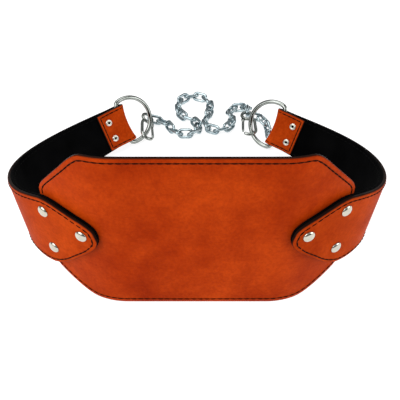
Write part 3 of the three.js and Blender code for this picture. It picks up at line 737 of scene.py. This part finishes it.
def strap_stitches(name, bar):
    upper = [(at, half_width(name, at, 1) - STRAP_INSET)
             for at in np.arange(bar - SEAM_END, SEAM_START, -SEAM_SPACING)]
    lower = [(at, half_width(name, at, -1) + STRAP_INSET)
             for at in np.arange(SEAM_START, bar - SEAM_END, SEAM_SPACING)]
    tip = []
    outline = [(at, up * TIP_HALF) for at, up, _ in reversed(TIP) if at < 9]
    outline += [(at, down * TIP_HALF) for at, _, down in TIP if at < 9]
    for i, (at, across) in enumerate(outline):
        a = np.array(outline[max(0, i - 1)])
        b = np.array(outline[min(len(outline) - 1, i + 1)])
        along = unit(b - a)
        normal = np.array([-along[1], along[0]])
        if normal @ (np.array([12, 0]) - np.array([at, across])) < 0:
            normal = -normal
        tip.append((at + normal[0] * STRAP_INSET, across + normal[1] * STRAP_INSET))
    ring = upper + tip[2:-2] + lower
    def line(off, sign):
        places = [strap_point(name, at, b, off) for at, b in ring]
        return places, [basis_at(name, at, b, off)[3] * sign for at, b in ring]
    sewn(f"{name}_strap", *line(STRAP_LEATHER, 1), THREAD)
    points, faces = join(*stitch_line(*line(LINING_BOTTOM, -1)))
    piece(f"{name}_lining_stitches", points, faces, BLACK_THREAD)
    end = tab_end(bar)
    start = bar - 2
    deep = TAB_DEPTH - LEATHER_HALF
    fold = FOLD_RADIUS + LEATHER_HALF
    def edge_at(at, sign):
        wide = 1 + (TAB_NARROW - 1) * (bar - at) / (bar - end)
        return half_width(name, at, sign) * wide - sign * TAB_INSET
    ring = [(at, edge_at(at, 1)) for at in np.linspace(start, end + TAB_INSET, 8)]
    ring += [(end + TAB_INSET, b) for b in np.linspace(edge_at(end, 1), edge_at(end, -1), 8)[1:-1]]
    ring += [(at, edge_at(at, -1)) for at in np.linspace(end + TAB_INSET, start, 8)]
    def round_fold(sign, angles):
        b = edge_at(bar, sign)
        spots = []
        for angle in np.radians(angles):
            at, reach = bar + fold * math.cos(angle), fold * math.sin(angle)
            place = strap_point(name, at + fold_flare(name, at, b), b, BAR_DEPTH + reach)
            _, ahead, _, normal = basis_at(name, bar, b, BAR_DEPTH)
            spots.append((place, ahead * math.cos(angle) + normal * math.sin(angle)))
        return spots
    spots = round_fold(1, range(70, -80, -10))
    for at, b in ring:
        place = strap_point(name, at + fold_flare(name, at, b), b, tab_middle(bar, at) - LEATHER_HALF)
        spots.append((place, -basis_at(name, at, b, deep)[3]))
    spots += round_fold(-1, range(-70, 80, 10))
    sewn(f"{name}_tab", [p for p, _ in spots], [n for _, n in spots], THREAD)


# Rivets
def standing(place, up, normal):
    side = unit(np.cross(up, normal))
    front = unit(np.cross(side, normal))
    return side, normal, front, place


def dome():
    profile = [(0, 0), (CAP_RADIUS - 0.5, 0), (CAP_RADIUS - 0.1, 0.12), (CAP_RADIUS, 0.35)]
    for i in range(1, 15):
        radius = CAP_RADIUS * math.cos(math.pi / 2 * i / 14) if i < 14 else 0.0
        height = 0.35 + (CAP_HEIGHT - 0.5) * (1 - (radius / CAP_RADIUS) ** 2.6) ** 0.62
        profile.append((radius, height))
    return lathe(profile, 40)


def disc():
    profile = [
        (DISC_HOLE, -0.1), (DISC_RADIUS, -0.1), (DISC_RADIUS, 0.35), (DISC_RADIUS - 0.25, 0.75),
        (DISC_RADIUS - 0.8, DISC_HEIGHT), (DISC_HOLE + 0.7, DISC_HEIGHT),
        (DISC_HOLE + 0.2, DISC_HEIGHT - 0.2),
        (DISC_HOLE, DISC_HEIGHT - 0.6), (DISC_HOLE, -0.1),
    ]
    return lathe(profile, 36)


# A black plug sitting in the washer's hole: painted shade, not a part of the rivet
def hole_shade_plug():
    rim = DISC_HOLE - 0.05
    return lathe([(0, 0), (rim, 0), (rim, DISC_HEIGHT - 0.35), (0, DISC_HEIGHT - 0.4)], 20)


def make_rivets(name):
    for spot, (along, across) in CAP_RIVETS[name].items():
        place, _, up, normal = basis_at(name, along, across, STRAP_LEATHER)
        points, faces = placed(dome(), *standing(place, up, normal))
        piece(f"{name}_cap_{spot}", points, faces, NICKEL, replaces=(f"{name}_rivet_{spot}",))
    for spot, (before, across) in TAB_RIVETS.items():
        at = STRAPS[name]["length"] - before
        place, _, up, normal = basis_at(name, at, across, TAB_DEPTH - LEATHER_HALF)
        basis = standing(place, up, -normal)
        points, faces = placed(disc(), *basis)
        piece(f"{name}_washer_{spot}", points, faces, WASHER, replaces=(f"{name}_tab_rivet_{spot}",))
        # The black plug in the hole is painted shade
        points, faces = placed(hole_shade_plug(), *basis)
        piece(f"{name}_washer_hole_shade_{spot}", points, faces, HOLE_SHADE)


# Rings, hooks and gates
def make_ring(name, bar):
    place, along, across, _ = basis_at(name, bar, 0, BAR_DEPTH)
    third = unit(np.cross(along, across))
    corner = [(1.2, 22.4), (0.2, 20.2), (0, 18)]
    mirrored = [(x, -y) for x, y in reversed(corner)]
    path = arc(RING_MIDDLE, 0, RING_RADIUS, -RING_OPEN, RING_OPEN, 56) + corner + [(0, 6), (0, -6)] + mirrored
    points, faces = placed(tube(path, RING_WIRE / 2, 20, True), along, across, third, place)
    piece(f"{name}_ring_wire", points, faces, RING_METAL, replaces=(f"{name}_d_ring",))
    return place, along, across


def hook_frame(name, hold):
    hook = HOOKS[name]
    place, along, across = hold
    turn = math.radians(hook["around"])
    on_ring = place + along * (RING_MIDDLE + RING_RADIUS * math.cos(turn))
    on_ring = on_ring + across * RING_RADIUS * math.sin(turn)
    run = -along * math.sin(turn) + across * math.cos(turn)
    back = unit(np.array(hook["pitch"]))
    normal = unit(run - back * (run @ back)) * hook["gate"]
    normal = turned(normal, back, math.radians(hook["roll"]))
    ahead = -back
    side = unit(np.cross(normal, ahead))
    origin = on_ring - ahead * (BOW_DISTANCE + SEAT[0]) - side * SEAT[1]
    return ahead, side, normal, origin


def plate(outline, thick, z):
    count = len(outline)
    points = [np.array([x, y, level]) for level in (z - thick / 2, z + thick / 2) for x, y in outline]
    faces = [tuple(range(count - 1, -1, -1)), tuple(range(count, 2 * count))]
    faces += [(k, (k + 1) % count, count + (k + 1) % count, count + k) for k in range(count)]
    return points, faces


def make_hook(name, hold):
    basis = hook_frame(name, hold)
    wire = HOOK_WIRE / 2
    eye = tube(arc(0, 0, EYE_RADIUS, 0, 355, 71), wire, 16, True)
    bow = arc(BOW_DISTANCE, 0, BOW_RADIUS, -90, 52, 22)
    spine = [(EYE_RADIUS * 0.75, -EYE_RADIUS * 0.66), (6.4, -5.4), (8, -6.3), (10, -6.95),
             (12, -BOW_RADIUS), (18, -BOW_RADIUS)]
    path = spine + bow
    radii = [wire * 0.8] + [wire] * (len(path) - 4) + [wire * 1.05, wire * 0.95, wire * 0.55]
    body = tube(path, radii, 16, False)
    rounded = arc(HINGE_X, HINGE_Y, LUG_RADIUS, -60, 150, 10)
    rounded += [(EYE_RADIUS * 0.5, EYE_RADIUS * 0.65), (EYE_RADIUS * 0.8, 2)]
    lug = plate(rounded, LUG_THICK, 0)
    points, faces = placed(join(eye, body, lug), *basis)
    piece(f"{name}_hook_body", points, faces, RING_METAL, replaces=(f"{name}_snap_hook",))
    tip = (BOW_DISTANCE + BOW_RADIUS * math.cos(math.radians(72)), BOW_RADIUS * 0.98)
    start = (HINGE_X + 3.4, HINGE_Y + 0.4)
    steps = 12
    bar = [(start[0] + (tip[0] - start[0]) * k / steps, start[1] + (tip[1] - start[1]) * k / steps)
           for k in range(steps + 1)]
    gate = tube(bar, [GATE_RADIUS] * (steps - 1) + [GATE_RADIUS * 0.95, GATE_RADIUS * 0.7], 16, False)
    cheeks = []
    outline = arc(HINGE_X, HINGE_Y, CHEEK_RADIUS, 90, 270, 8)
    outline += [(start[0] + 1.5, start[1] - 1.1), (start[0] + 1.5, start[1] + 1.1)]
    for side in (-1, 1):
        cheeks.append(plate(outline, CHEEK_THICK, side * CHEEK_OFF))
    points, faces = placed(join(gate, *cheeks), *basis)
    piece(f"{name}_hook_gate", points, faces, RING_METAL,
          body=f"{name}_gate", replaces=(f"{name}_snap_gate",))


# Chain links lie where their solids lie
def link_shape():
    radius = (LINK_WIDTH - CHAIN_WIRE) / 2
    straight = (LINK_LENGTH - CHAIN_WIRE) / 2 - radius
    path = arc(straight, 0, radius, -90, 90, 12) + arc(-straight, 0, radius, 90, 270, 12)
    return tube(path, CHAIN_WIRE / 2, 14, True)


def make_links():
    shape = link_shape()
    for name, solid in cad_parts.items():
        if "_link_" not in name:
            continue
        corners = np.array([tuple(solid.matrix_world @ v.co) for v in solid.data.vertices])
        corners = corners / METRES - SHIFT
        middle = corners.mean(0)
        _, axes = np.linalg.eigh(np.cov((corners - middle).T))
        along, across, through = axes[:, 2], axes[:, 1], axes[:, 0]
        points, faces = placed(shape, along, across, through, middle)
        piece(f"{name}_wire", points, faces, ZINC, replaces=(name,))


make_panel()
panel_stitches()
for side_name in STRAPS:
    bar_at = make_strap(side_name)
    strap_stitches(side_name, bar_at)
    make_rivets(side_name)
    ring_hold = make_ring(side_name, bar_at)
    make_hook(side_name, ring_hold)
make_links()

# Camera, floor and light: the camera is the photograph's, in its pixels
IMAGE_WIDTH, FOCAL_LENGTH, SIDE_SHIFT = 400, 542, 3
SENSOR_WIDTH = 36
CAMERA_PLACE, CAMERA_DOWN = (0, -253.6, 393.0), 46.524
FLOOR_HALF = 9

scene = bpy.context.scene
camera_data = bpy.data.cameras.new("camera")
camera_data.lens = FOCAL_LENGTH / IMAGE_WIDTH * SENSOR_WIDTH
camera_data.sensor_width = SENSOR_WIDTH
camera_data.shift_x = SIDE_SHIFT / IMAGE_WIDTH
camera_data.clip_start = 0.01
camera = bpy.data.objects.new("camera", camera_data)
camera.location = Vector(((np.array(CAMERA_PLACE) + SHIFT) * METRES).tolist())
camera.rotation_euler = (math.radians(90 - CAMERA_DOWN), 0, 0)
scene.collection.objects.link(camera)
scene.camera = camera

floor_mesh = bpy.data.meshes.new("floor")
floor_corners = [(x * FLOOR_HALF, y * FLOOR_HALF, 0) for x, y in ((-1, -1), (1, -1), (1, 1), (-1, 1))]
floor_mesh.from_pydata(floor_corners, [], [(0, 1, 2, 3)])
floor = bpy.data.objects.new("floor", floor_mesh)
scene.collection.objects.link(floor)
floor_material, _, floor_shader = new_material("floor_white")
floor_shader.inputs["Base Color"].default_value = (0.45, 0.45, 0.45, 1)
floor_shader.inputs["Roughness"].default_value = 0.9
floor_shader.inputs["Specular IOR Level"].default_value = 0.1
floor_shader.inputs["Emission Color"].default_value = (1, 1, 1, 1)
floor_shader.inputs["Emission Strength"].default_value = 0.8
floor_mesh.materials.append(floor_material)


def area(name, place, target, size, power):
    data = bpy.data.lights.new(name, "AREA")
    data.shape = "RECTANGLE"
    data.size, data.size_y = size
    data.energy = power
    light = bpy.data.objects.new(name, data)
    light.location = place
    way = Vector(target) - Vector(place)
    light.rotation_euler = way.to_track_quat("-Z", "Y").to_euler()
    scene.collection.objects.link(light)


area("key", (-0.8, -0.7, 0.9), (0, -0.05, 0.06), (1.1, 1.1), 11)
area("fill", (1.3, -0.35, 0.6), (0.1, 0, 0.06), (1.0, 0.8), 7.5)
area("top", (-0.1, 0.35, 1.2), (0, 0, 0), (1.3, 0.8), 7)

world = bpy.data.worlds.new("studio")
world.use_nodes = True
scene.world = world
sky = world.node_tree
way = sky.nodes.new("ShaderNodeSeparateXYZ")
sky.links.new(sky.nodes.new("ShaderNodeTexCoord").outputs["Generated"], way.inputs[0])
glow = [(0.0, (0.012,) * 3), (0.22, (0.02,) * 3), (0.4, (0.3,) * 3), (0.7, (0.45,) * 3), (1.0, (0.2,) * 3)]
seen = sky.nodes.new("ShaderNodeLightPath").outputs["Is Camera Ray"]
sky.links.new(mixed(sky, seen, ramp(sky, way.outputs["Z"], glow), (0.9, 0.9, 0.9)),
              sky.nodes["Background"].inputs["Color"])
sky.nodes["Background"].inputs["Strength"].default_value = 1.0
scene.view_settings.view_transform = "Standard"
